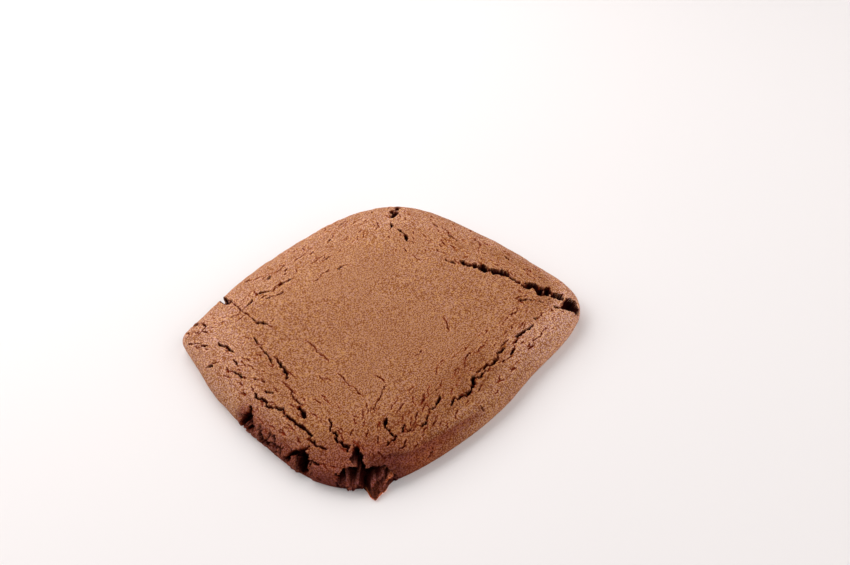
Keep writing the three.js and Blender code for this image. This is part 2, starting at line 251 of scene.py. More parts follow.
LEFT_CRACKS = opened(
    (0.75, (-56.4, 4.9), (-57.2, 3.1), (-56.8, 2.1), (-55.8, -1), (-57.2, -2.4), (-56.6, -3.8),
        (-56.1, -5.5)),
    (0.85, (-55.5, -5.9), (-55.2, -7.5), (-54.9, -8.3), (-54, -8.4)),
    (0.7, (-55.9, -10.8), (-55.3, -12.1), (-55.4, -13.4), (-54.8, -15.4), (-55.4, -17.2), (-55, -18.1)),
    (0.85, (-55.2, -17.6), (-54.6, -20.2), (-54.6, -21.1), (-54.9, -24), (-54.7, -25.3)),
    (0.6, (-56.9, -24.6), (-56.4, -25.5), (-56.1, -27.8), (-56.7, -28.6), (-55.6, -30.6), (-55.1, -33)),
    (0.4, (-46.5, 0.6), (-46.7, -1.2), (-46.9, -2.7), (-47.1, -5.2)),
    (0.5, (-47.1, -4), (-47.2, -5.2), (-48.1, -6), (-49.1, -8.6), (-48.7, -9.7), (-49.1, -11.6),
        (-48.3, -13.2)),
    (1.1, (-50.3, -12.4), (-50.2, -13.9), (-50.3, -14.9), (-51, -15.8), (-51.3, -16.7), (-51.4, -17.9)),
    (0.6, (-46.3, -24.6), (-46.6, -25.5), (-47.8, -27.1), (-48.8, -27.8), (-49.5, -28.8)),
    (1.0, (-49.3, -29.8), (-48.8, -30.8), (-49.1, -31.6)),
    (0.8, (-49.3, -32), (-50.3, -32.4), (-50.6, -33.1), (-51, -33.9)),
    (0.85, (-50.2, -34.3), (-50.2, -36.9), (-49.8, -37.8), (-48.8, -38)),
    (0.6, (-50, -37.9), (-50.9, -38.4), (-51, -39)),
    (0.6, (-40, 26.3), (-40.3, 24.7), (-41, 22.8)),
    (0.5, (-41.4, 20.8), (-41.7, 19)),
    (0.85, (-42.1, 17.4), (-41.9, 16.4), (-42.2, 14.7)),
    (0.6, (-42.4, 14), (-43.1, 12.4), (-43.5, 11)),
    (0.4, (-43.7, 10.6), (-44.2, 9.2)),
    (0.5, (-40.8, 12.7), (-41.1, 11), (-41.7, 9.7)),
    (0.9, (-41.7, 10), (-41.5, 8.2), (-42.2, 7), (-41.9, 5.6)),
    (1.3, (-42.4, 5.2), (-43, 4.2), (-43, 3.4), (-43.3, 2.2)),
    (0.7, (-43.6, 1.9), (-44.4, 1.2), (-45, 0.4)),
    (0.7, (-55.2, 19.2), (-55.1, 17.6), (-54.6, 16.7), (-55, 15.3), (-55.2, 14.6)),
    (0.45, (-54.4, 14.8), (-54.4, 13)),
    (0.55, (-52, 23.8), (-52.1, 22.4), (-52.7, 20.1)),
    (0.45, (-49.2, 22.1), (-49, 20.8)),
    (0.4, (-48.6, 19.6), (-48.3, 17.7)),
    (0.7, (-50.6, 35.2), (-50.6, 33.7), (-50.2, 32), (-49.4, 30.8), (-50, 29.6), (-50, 27.9),
        (-49.4, 26.3)),
    (0.5, (-52.6, 10.8), (-52.2, 9.5), (-51.6, 8.6)),
    (0.45, (-50.7, 8), (-51, 6.4), (-50.5, 4.8)),
    (0.65, (-53.2, 3), (-53, 1.2), (-52.1, -0.5)),
    (0.4, (-58.1, 10.4), (-58.8, 8.9), (-58.9, 7.5)),
    (0.4, (-55.8, 23.5), (-56.9, 20.4)),
    (0.4, (-55.5, 8.6), (-55.8, 6.2)),
    (0.4, (-44.3, -34.6), (-46.3, -35.5)),
    (0.55, (-47.4, -40.4), (-48.3, -39.2)),
    (0.8, (-59.9, 31.5), (-58.8, 30.5), (-58.2, 29.2)),
    (0.5, (-57.4, 47.6), (-56.7, 46)),
    (0.5, (-55.4, 43.4), (-54.7, 41.9)),
    (0.55, (-55.4, 40.8), (-54.7, 39.5), (-53.9, 38.4)),
    (0.4, (-27.8, 10), (-28, 7), (-27.8, 5), (-28.8, 2), (-29, 0), (-28.6, -2), (-29, -5)),
    (0.4, (-30.7, -12), (-31, -14.5), (-31.3, -16.5), (-31.8, -19)),
    (0.4, (-31, -20.5), (-31.8, -23.5), (-32, -26)),
    (0.35, (-36, -7), (-36.5, -9.5)),
    (0.35, (-35, -10.5), (-34.7, -13.5)),
)

SIDE_FISSURES = opened(
    (0.6, (-60.9, 3.4, 9.9), (-61.1, 2.5, 9.8)),
    (1.2, (-61, 2.6, 9.9), (-62, 1.3, 9.3), (-63.2, 1.3, 8.5)),
    Crack(2.1, ((-62.4, 1.1, 9.1), (-63.8, 1.7, 7.9), (-64.9, 2.4, 6.6), (-65.5, 3.3, 4.6),
        (-65.6, 3.6, 3.2)), 1.4),
    (0.9, (-64.6, -1.3, 7.3), (-65.3, -1.9, 5.9), (-65.6, -0.6, 4.4), (-65.6, 0.8, 3.2)),
    (0.7, (-63.9, -3.6, 8.1), (-65.1, -4.4, 6.5)),
    Crack(2.2, ((-64.6, -7.3, 7.5), (-65.3, -8.8, 6.4), (-65.6, -10.4, 5.6), (-65.7, -11.6, 4.8)), 2.2),
    Crack(1.0, ((-63.4, -12.7, 8.6), (-62.5, -13.5, 9.2)), 2.0),
    (0.8, (-64.2, -16, 7.8), (-64.5, -16.8, 7.3)),
    (0.8, (-64.6, -18.2, 7.2), (-63.4, -18.9, 8.4)),
    (0.7, (-65.6, -14.4, 5.8), (-65.8, -15.2, 4.8)),
    Crack(1.6, ((-65.4, -20.6, 4.8), (-65.1, -21.8, 5.7), (-64.2, -22.4, 7.3), (-62.6, -23.8, 8.6),
        (-61.2, -25.2, 9.5)), 1.8),
    (1.3, (-60.4, -25.4, 9.9), (-61.8, -27, 9), (-62.4, -28.4, 8.1)),
    Crack(3.0, ((-61.4, -27, 9.1), (-62.6, -28.6, 7.9), (-63.4, -28.8, 6.4), (-64.1, -29.3, 4),
        (-64, -29.8, 1), (-63.6, -30, -2)), 1.8),
    (0.7, (-60.8, -25.8), (-59.9, -26.1), (-59.4, -26.6), (-58.3, -26.8)),
    (0.65, (-61.2, -29.8, 8.9), (-60.8, -31.6, 8.8), (-60.4, -34.2, 8.5)),
    (1.0, (-62.4, -35.4, 4.8), (-62.2, -36.1, 3.6)),
    (1.0, (-58.6, -40.6, 7.6), (-57.6, -43.1, 6.5)),
    (0.9, (-59, -41.4, 6.2), (-58.4, -42.4, 4.6)),
    (1.7, (-48.5, -40.4), (-49.6, -41.7), (-50.4, -42.7)),
    Crack(2.5, ((-49.8, -41.8), (-51, -44.1), (-51.4, -46.4), (-52.4, -49)), 2.6),
    (0.6, (-6.1, -59.4, 8.9), (-5.8, -61.1, 7.4)),
    (0.55, (-32.7, -58.2, 4.8), (-31, -58.3, 5.5), (-29.2, -58.4, 6.4)),
)

BACK_CRACKS = opened(
    (1.7, (-33.3, 61), (-33.6, 57), (-34.6, 54), (-35.1, 52.4), (-34.9, 50.8)),
    (1.2, (-35.9, 49.8), (-34.9, 49.4), (-33.8, 50.1)),
    (0.45, (-34, 47.8), (-34.2, 44), (-34.4, 42.3), (-34.4, 39.7), (-34.3, 36.6)),
    (0.6, (-34.3, 35), (-34.4, 32.7)),
    (0.85, (-34.9, 31.7), (-34, 30.9), (-33.1, 29.6), (-32.4, 27.8)),
    (0.4, (-32.2, 27.2), (-32.1, 24.8)),
    (0.55, (-31.3, 41.7), (-29.8, 42), (-28.8, 42.8), (-27.7, 43.4)),
    (0.45, (-30.7, 27.6), (-28.7, 27.6)),
    (1.2, (-51.3, 60), (-50.8, 56.5), (-50.2, 53.5), (-50, 50.6)),
    (0.55, (-48.6, 50.6), (-48.1, 49.4), (-48.6, 47.8), (-48.4, 46)),
    (0.45, (-51.2, 45.8), (-50.9, 44.8), (-50, 43.3)),
    (0.5, (-39.6, 41.6), (-38, 41.5)),
    (0.8, (-17.3, 48.3), (-16.2, 47.9), (-13.8, 48.5)),
    (0.45, (-25, 46.2), (-24, 46.7)),
    (0.65, (-25.2, 43.9), (-22.8, 43.6), (-21.1, 42.3), (-19.8, 41.3)),
    (0.75, (-15.8, 41.5), (-13.7, 41.2), (-12.7, 41)),
    (0.75, (-11.6, 40.6), (-9.4, 40.2)),
    (0.7, (-24.2, 39), (-22.5, 38.6), (-21.3, 38.6)),
    (0.5, (-20, 37.6), (-18.2, 37.1), (-16.5, 37.5)),
    (0.45, (-8.8, 45.8), (-6.4, 46.7)),
    (0.4, (-4.6, 31.9), (-2.4, 31.9)),
    (0.45, (-0.8, 32.3), (1, 33)),
    (0.5, (2, 32.4), (4.1, 32.6)),
    (0.7, (6.3, 29.9), (9.3, 29.6)),
    (0.4, (10.6, 28.7), (11.8, 28.4)),
    (0.45, (5.4, 38.4), (8, 38.2), (10.9, 38.4)),
    (0.4, (14, 37.4), (15, 37.7)),
    (0.45, (4.8, 45.2), (7.4, 46.2)),
    (0.6, (14.7, 45.8), (17.6, 45.9)),
    (0.4, (18.9, 46.9), (19.8, 47.6)),
    (0.5, (25.5, 50.4), (28.1, 51.1), (31, 51.7)),
    Crack(1.2, ((-22.6, 55.6), (-21, 55)), 0.8),
)

RIGHT_CRACKS = opened(
    (2.04, (45, 36.1), (46.2, 36.8), (48, 37.2)),
    (1.32, (46.4, 37.4), (46.9, 38.8), (47.5, 39.9), (48.7, 40.1)),
    (1.56, (50, 38.8), (51.3, 39.9), (52.6, 40.9), (53.7, 42.2)),
    (1.32, (40.6, 33.2), (39.4, 31.3)),
    (0.5, (41.4, 34.2), (40.8, 33.6)),
    (0.5, (39, 31.5), (38, 31)),
    (0.75, (40.3, 28.2), (39.9, 25.7), (39.9, 24.5)),
    (1.26, (39.5, 23.6), (38.5, 21.6), (38.2, 20.8)),
    (0.65, (37.9, 21), (37, 19.7)),
    (0.5, (38.3, 18.4), (37.9, 16.2)),
    (0.45, (33.4, 17.8), (32.7, 16.3), (32.1, 15.2)),
    (0.35, (29.6, 19.1), (31, 19.8)),
    (0.4, (34.5, 29), (33.8, 27.2)),
    (0.7, (42.5, 47.3), (41, 46)),
    (0.55, (53.4, 20.6), (52.9, 18.3), (52.1, 15.9)),
    (0.5, (53.4, 14.9), (53.1, 12.4), (52.9, 10.8)),
    (0.7, (51, 8.6), (51.2, 7.2), (50.8, 5.9)),
    (0.6, (51.2, 4.8), (50.6, 3.4)),
    (0.6, (40.8, 6), (40.7, 5)),
    (0.5, (41.1, 3.8), (41.5, 3.2)),
    (0.4, (41.5, 1.9), (41.9, 1.3)),
    (0.35, (46.6, 4), (46.5, 1.6), (46.1, 0.2)),
    (0.55, (56.8, -0.4), (56.4, -2.2), (56.6, -3.2)),
    (0.5, (56, -4.6), (55.6, -5.4)),
    (0.45, (53.5, -6), (52.7, -6.8)),
    (0.45, (56.5, -16), (56.2, -16.8)),
    (0.75, (57, -17.4), (56.4, -19.2), (56, -20.6)),
    (0.4, (34.8, 5.3), (33.7, 4.3)),
    (0.35, (38.1, 10.4), (37.1, 9.1)),
    (0.4, (45.9, -5.8), (45.6, -6.8)),
    (0.35, (50.4, -15), (51.2, -17)),
    (0.65, (39.1, -0.7), (38.4, -2)),
    (1.14, (39, -3.6), (39.4, -4.6), (39.3, -5.6)),
    (1.5, (42.2, -6.8), (41.8, -8.4), (42.2, -10), (43, -11.3)),
    (1.58, (44.3, -11.5), (43.6, -12.5), (42.9, -13.5)),
    (2.16, (44.3, -14), (45.1, -15.4), (44.9, -16.6), (44.7, -17.8)),
    (1.87, (45.4, -18.6), (46.5, -19.8), (46.5, -20.8), (46.2, -22.2)),
    (1.87, (47.9, -22), (47.2, -23.2), (47.6, -24.6), (48.1, -26), (47.8, -27)),
    (2.02, (48.7, -24), (48.3, -26.4)),
    (0.75, (47.8, -27.6), (47.6, -29), (47.7, -30.8), (47.6, -33)),
    (1.3, (47.4, -34.4), (47.7, -36.4)),
    (0.8, (48.8, -34.8), (49.6, -35.2)),
    (2.59, (48.4, -36.6), (49.8, -37.4), (50.2, -38.4)),
    Crack(2.16, ((49, -40.4), (50.8, -41.4)), 1.6),
    (1.58, (48.9, -41.2), (48.4, -42.6), (48.7, -44.1)),
    (1.73, (49.6, -44.8), (50.6, -44.2), (51.8, -43.2), (53, -42.8)),
    (1.44, (51.6, -44.6), (51.7, -46.2)),
    (3.17, (51, -47), (52.2, -47.8), (52.6, -49.2)),
    (0.7, (53.4, -48), (55.2, -48.9)),
    (1.44, (51.2, -53), (52.6, -52.2), (54.2, -51.2)),
    Crack(2.16, ((49.6, -53.4), (52, -53.8), (54, -53.4), (55.6, -53.2)), 2.8),
    Crack(2.88, ((51.6, -54.3), (53.4, -54.7), (54.8, -54.8)), 2.6),
    (0.8, (47.2, -50.3), (47.3, -51.5), (48.3, -52.5)),
    (1.44, (48.6, -52.7), (50.2, -53.4)),
    (0.4, (32.1, 12), (32, 9.5), (31.9, 6.8)),
    (0.75, (40.8, -38.6), (40.9, -39.6), (42.1, -40.5), (43, -42.1)),
    (0.6, (43.2, -42.6), (44, -43)),
    (0.55, (44.2, -44.2), (45.5, -46.5)),
    (0.4, (36.3, -33.7), (37.6, -35)),
    (0.65, (36.2, -49.8), (36.9, -49.1), (37.8, -50)),
    (0.45, (39.2, -50), (40.9, -49.3)),
    (0.6, (48.2, -46.6), (48.6, -47.4)),
    (0.6, (55.8, -28.4), (55.6, -29.2)),
    (0.45, (56.7, -30.7), (55.9, -32.2)),
    (0.45, (55.4, -35.2), (56.8, -38)),
)

FRONT_CRACKS = opened(
    (0.95, (-33.2, -39.5), (-34.2, -40.5), (-35.2, -41.3), (-36.1, -41.6)),
    (0.8, (-36, -42.8), (-36, -43.8)),
    (0.8, (-36.5, -44.8), (-36.1, -45.3), (-36.2, -46.4), (-36, -47.4)),
    (0.75, (-36.2, -47.5), (-37.2, -47.5), (-38, -47.2)),
    (0.65, (-40.2, -47.5), (-39.2, -46.6)),
    (0.65, (-33.6, -47.6), (-32.5, -47.3), (-31.9, -46.7), (-30.9, -46.3)),
    (0.5, (-31.7, -48.7), (-29.9, -49)),
    (0.45, (-29, -49.6), (-28.2, -48.9)),
    (0.7, (-27.2, -50.6), (-25.8, -50.9), (-24.1, -51)),
    (0.65, (-23.8, -50.1), (-22.6, -49.6)),
    (0.45, (-21.8, -49.3), (-20.5, -48.2)),
    (0.65, (-20.3, -48.5), (-19.2, -49.1), (-18.2, -49)),
    (0.9, (-17.5, -48.4), (-16.7, -48.6), (-15.4, -47.9), (-13.9, -47.2)),
    (0.7, (-14, -52.2), (-12.6, -52.2), (-11.6, -51.7), (-10.6, -51.4)),
    (0.75, (-10.3, -52.4), (-8.8, -52.6), (-7.8, -52.9), (-6.7, -53.6)),
    (0.9, (-6.4, -52.5), (-5.5, -53.4), (-4.3, -53.6)),
    (0.8, (-3.5, -52.6), (-1.6, -52.4)),
    (1.6, (-1, -51.8), (-0.4, -50.8), (0.4, -50.4)),
    (1.0, (1.2, -51.5), (2.3, -52), (3.8, -51.8)),
    (0.5, (3.8, -51.8), (6, -51.7)),
    (0.65, (2.8, -49.7), (4.2, -50), (5.1, -49.9)),
    (0.85, (5.9, -50.5), (7.2, -50.4), (8.2, -50.1)),
    (0.9, (8.5, -51.1), (9.7, -51.5), (11.3, -51.2), (12.6, -51.4)),
    (0.75, (14.6, -49.4), (16.1, -49.9), (18.2, -49.8)),
    (0.45, (17.4, -48.5), (19.3, -48.6), (20.6, -48.1), (21.9, -48.3)),
    (0.5, (12.8, -53.3), (14.6, -53.5)),
    (0.5, (15.7, -53.6), (17.3, -53.8)),
    (0.7, (17.9, -53.2), (19, -53), (20.6, -52.5)),
    (0.5, (22.1, -51), (23.8, -51), (25.5, -50.6)),
    (0.85, (24.9, -49.3), (26, -49.8), (28.2, -50.1), (29.8, -50.2), (31.4, -50.6), (33.8, -51)),
    (0.4, (24, -52.8), (25.8, -52.7)),
    (0.4, (24.4, -56), (26, -55.7), (27.8, -56.3)),
    (0.45, (28.9, -54.7), (31, -54.9)),
    (0.45, (32, -55.4), (34.1, -54.8)),
    (0.45, (35.2, -54.6), (36.8, -54.6)),
    (0.45, (1.1, -45.2), (2.4, -44.2)),
    (0.45, (4.2, -43), (5.5, -42.1), (6.8, -41.9), (8.2, -42.2)),
    (0.4, (10, -43.9), (11.3, -43.5), (13, -42.9)),
    (0.35, (-1.9, -43.5), (0.1, -43.7)),
    (0.35, (18.8, -39.9), (20.4, -39.5)),
    (0.4, (31.6, -40.9), (33.7, -41.6), (35.5, -42.2)),
    (0.4, (-2.6, -55.4), (0.2, -54.6)),
    (0.4, (13.4, -57.2), (15.5, -57.7)),
    (0.35, (22.9, -45.6), (25.2, -45.3)),
    (0.45, (-19.9, -44.7), (-17.3, -42.5)),
    (0.5, (-13.3, -44.7), (-12, -44.3)),
    (0.35, (-11.6, -44.9), (-8.2, -43)),
    (0.45, (-26.6, -47.5), (-24.5, -46.4), (-23.9, -46)),
    (0.45, (-42, -44.4), (-40, -42.8)),
    (0.4, (-28.8, -40.8), (-27.8, -40.2), (-25.8, -40.2), (-24.7, -39.7)),
    (0.45, (-24, -53.2), (-22, -52.8)),
    (0.45, (-38.2, -51.2), (-37.4, -51.1), (-36.5, -51.5), (-35.7, -51.2), (-33.9, -50.5)),
    (0.4, (-6.5, -27.5), (-5, -28), (-2.5, -27.3)),
    (0.4, (-33.5, -33.5), (-30.5, -32), (-27, -31), (-25, -29.5), (-23, -29)),
    (0.4, (15, -22), (13.5, -25), (12, -27), (11, -29)),
    (0.35, (-22.3, -23), (-22, -26), (-22.5, -28)),
)


class Side(Enum):
    """The four borders of the face: directions of the hairlines at their two ends, in degrees."""

    RIGHT = (108.0, 58.0)
    BACK = (22.0, -12.0)
    LEFT = (112.0, 82.0)
    FRONT = (42.0, -8.0)


@dataclass(frozen=True)
class Hairlines:
    """Short fine cracks scattered along the borders, in millimetres."""

    seed: int = 41
    each_side: int = 88
    sweep: float = 0.85
    nearest: float = 2.5
    farthest: float = 26.0
    crowding: float = 1.3
    shortest: float = 1.2
    longest: float = 4.2
    finest: float = 0.24
    widest: float = 0.42
    steep: float = 1.8
    stray: float = 15.0
    bend: float = 0.15

    def scatter(self, outline: Outline) -> list[Crack]:
        """Draw the hairlines of all four borders.

        Args:
            outline: plan of the biscuit.

        Returns:
            The hairlines.
        """
        rng = np.random.default_rng(self.seed)
        found = []
        for index, side in enumerate(Side):
            start, end = side.value
            for _ in range(self.each_side):
                share = rng.uniform(0.0, 1.0)
                angle = np.array([index * math.pi / 2 + self.sweep * (2.0 * share - 1.0)])
                inward = rng.uniform(0.0, 1.0) ** self.crowding
                inset = self.nearest + (self.farthest - self.nearest) * inward
                reach = outline.radius(angle)[0] - inset
                centre = reach * np.array([math.cos(angle[0]), math.sin(angle[0])]) - outline.middle()
                turn = math.radians(start + share * (end - start) + rng.normal(0.0, self.stray))
                length = rng.uniform(self.shortest, self.longest)
                half = 0.5 * length * np.array([math.cos(turn), math.sin(turn)])
                bent = centre + self.bend * rng.normal(0.0, 1.0, 2)
                route = (tuple(centre - half), tuple(bent), tuple(centre + half))
                found.append(Crack(rng.uniform(self.finest, self.widest), route, self.steep))
        return found


class CrackField:
    """All cracks together, as jagged lines that open and pinch along their way, in millimetres."""

    STEP = 0.5
    WANDER = 0.27
    TIP = 0.6
    TAPER = 0.7
    OPEN = 1.15
    LEAST = 0.12
    PINCH = (0.6, 1.45)
    SHALLOW = 0.6
    APART = 0.3
    BRIDGE = 3.1
    BRIDGE_SHARE = 0.7
    WALL = 0.5
    LEAST_WALL = 0.17
    WALL_POWER = 0.75
    RAGGED = 0.3
    MARGIN = 1.6
    FAR = 50.0

    def __init__(self, cracks: list[Crack], noise: LatticeNoise, seed: int) -> None:
        """Draw every crack's jagged line, and finer cracks between one's end and the next one's start.

        Args:
            cracks: the cracks to open; neighbours in the list are joined when they are close.
            noise: noise that frays the walls.
            seed: seed of the jags.
        """
        rng = np.random.default_rng(seed)
        self.noise = noise
        bridges = []
        for first, second in itertools.pairwise(cracks):
            ends = first.route[-1], second.route[0]
            if len(ends[0]) == len(ends[1]) and self.APART < math.dist(*ends) < self.BRIDGE:
                wide = self.BRIDGE_SHARE * min(first.wide, second.wide)
                bridges.append(Crack(wide, ends, min(first.steep, second.steep)))
        self.lines = [self._jagged(crack, rng) for crack in cracks + bridges]

    def _jagged(self, crack: Crack, rng: np.random.Generator) -> tuple[Array, Array, Array]:
        """One crack's line.

        Args:
            crack: the crack.
            rng: source of the jags.

        Returns:
            Places along the line, and its half width and depth at each.
        """
        route = np.array(crack.route, float)
        along = np.concatenate([[0.0], np.cumsum(np.linalg.norm(np.diff(route, axis=0), axis=1))])
        count = max(4, round(along[-1] / self.STEP) + 1)
        share = np.linspace(0.0, 1.0, count)
        nodes = np.column_stack([np.interp(share * along[-1], along, axis) for axis in route.T])
        nodes += self.WANDER * rng.uniform(-1.0, 1.0, nodes.shape)
        to_tip = np.minimum(share, 1.0 - share) * along[-1]
        taper = np.clip(to_tip / self.TAPER, self.TIP, 1.0) ** 0.7
        half = 0.5 * (self.LEAST + self.OPEN * crack.wide) * taper * rng.uniform(*self.PINCH, count)
        full = min(1.0, max(0.0, 2.0 * crack.wide - 0.8))
        depth = crack.steep * crack.wide * (self.SHALLOW + (1.0 - self.SHALLOW) * full)
        return nodes, half, depth * taper

    def sample(self, points: Array) -> tuple[Array, Array, Array]:
        """How far places have sunk into a crack, and how near they are to one.

        Args:
            points: places, one row each.

        Returns:
            Depth, distance to the nearest crack's edge, below 0 inside it, and that crack's full depth.
        """
        sunk = np.zeros(len(points))
        below = np.zeros(len(points))
        gap = np.full(len(points), self.FAR)
        fray = self.noise.layered(points, 0.9, 2)
        for nodes, half, deep in self.lines:
            spots = points[:, : nodes.shape[1]]
            reach = half.max() + self.MARGIN
            inside = (spots > nodes.min(0) - reach) & (spots < nodes.max(0) + reach)
            near = np.flatnonzero(inside.all(axis=1))
            if near.size == 0:
                continue
            spot = spots[near, None] - nodes[None, :-1]
            leg = np.diff(nodes, axis=0)
            share = np.clip((spot * leg).sum(axis=2) / (leg**2).sum(axis=1), 0.0, 1.0)
            away = np.linalg.norm(spot - share[..., None] * leg, axis=2)
            width = half[:-1] + share * np.diff(half)
            depth = deep[:-1] + share * np.diff(deep)
            best = (np.arange(near.size), np.argmin(away - width, axis=1))
            edge = (away - width)[best] + self.RAGGED * width[best] * fray[near]
            fall = np.clip(-edge / np.maximum(self.WALL * width[best], self.LEAST_WALL), 0.0, 1.0)
            sunk[near] = np.maximum(sunk[near], depth[best] * fall**self.WALL_POWER)
            below[near] = np.where(edge < gap[near], depth[best], below[near])
            gap[near] = np.minimum(gap[near], edge)
        return sunk, gap, below


@dataclass(frozen=True)
class CrumbledSide:
    """The left side, where the crust is lumpy and has lost flakes, in millimetres."""

    back: float = 4.5
    front: float = -31.5
    fade: float = 2.5
    lip: float = 9.6
    lip_stray: float = 0.7
    rise: float = 0.7
    rise_span: float = 6.5
    lump: float = 1.2
    lump_span: float = 3.8
    seam: float = 1.2
    grit: float = 0.4
    swollen: float = 0.3

    def marks(self, points: Array, noise: LatticeNoise) -> dict[str, Array]:
        """Where the side is crumbled, how far it is eaten in, and the painted shade on the crust as it
        turns over its edge.

        Args:
            points: places of the smooth biscuit, one row each.
            noise: noise that shapes the lumps and frays the upper edge.

        Returns:
            The weights and the inward distance, by name, one per place.
        """
        x, y, height = points.T
        edge = self.lip + self.lip_stray * noise.layered(points * np.array([0.0, 1.0, 0.0]), 4.0, 3)
        along = ramp(self.back + self.fade, self.back, y) * ramp(self.front - self.fade, self.front, y)
        below = ramp(edge, edge - 1.2, height) * ramp(0, 0.8, height)
        crumbled = along * below * ramp(-52, -56, x)
        bent = points + 1.1 * noise.smooth(points + 9.0, 3.5)[:, None]
        middle, seam, level = noise.cells(bent * np.array([1.0, 1.0, 0.7]), self.lump_span)
        lumps = self.lump * (middle - 0.5 + 0.35 * level) + self.seam * ramp(0.16, 0, seam)
        slow = self.rise * noise.smooth(points, self.rise_span)
        eaten = slow + lumps + self.grit * noise.layered(points, 1.5, 2)
        whole = ramp(-28, -32, y)
        start = self.lip + 2.4 + 0.8 * whole
        over = ramp(start, start - 3.6 - 2.6 * whole, height)
        return {
            "crumbled": crumbled,
            "loss": crumbled * np.maximum(eaten, -self.swollen),
            # Painted shade on the crust as it turns over the side's upper edge.
            "side_shade": over * ramp(self.back + 2.0 * self.fade, self.back, y) * ramp(-44, -52, x),
        }


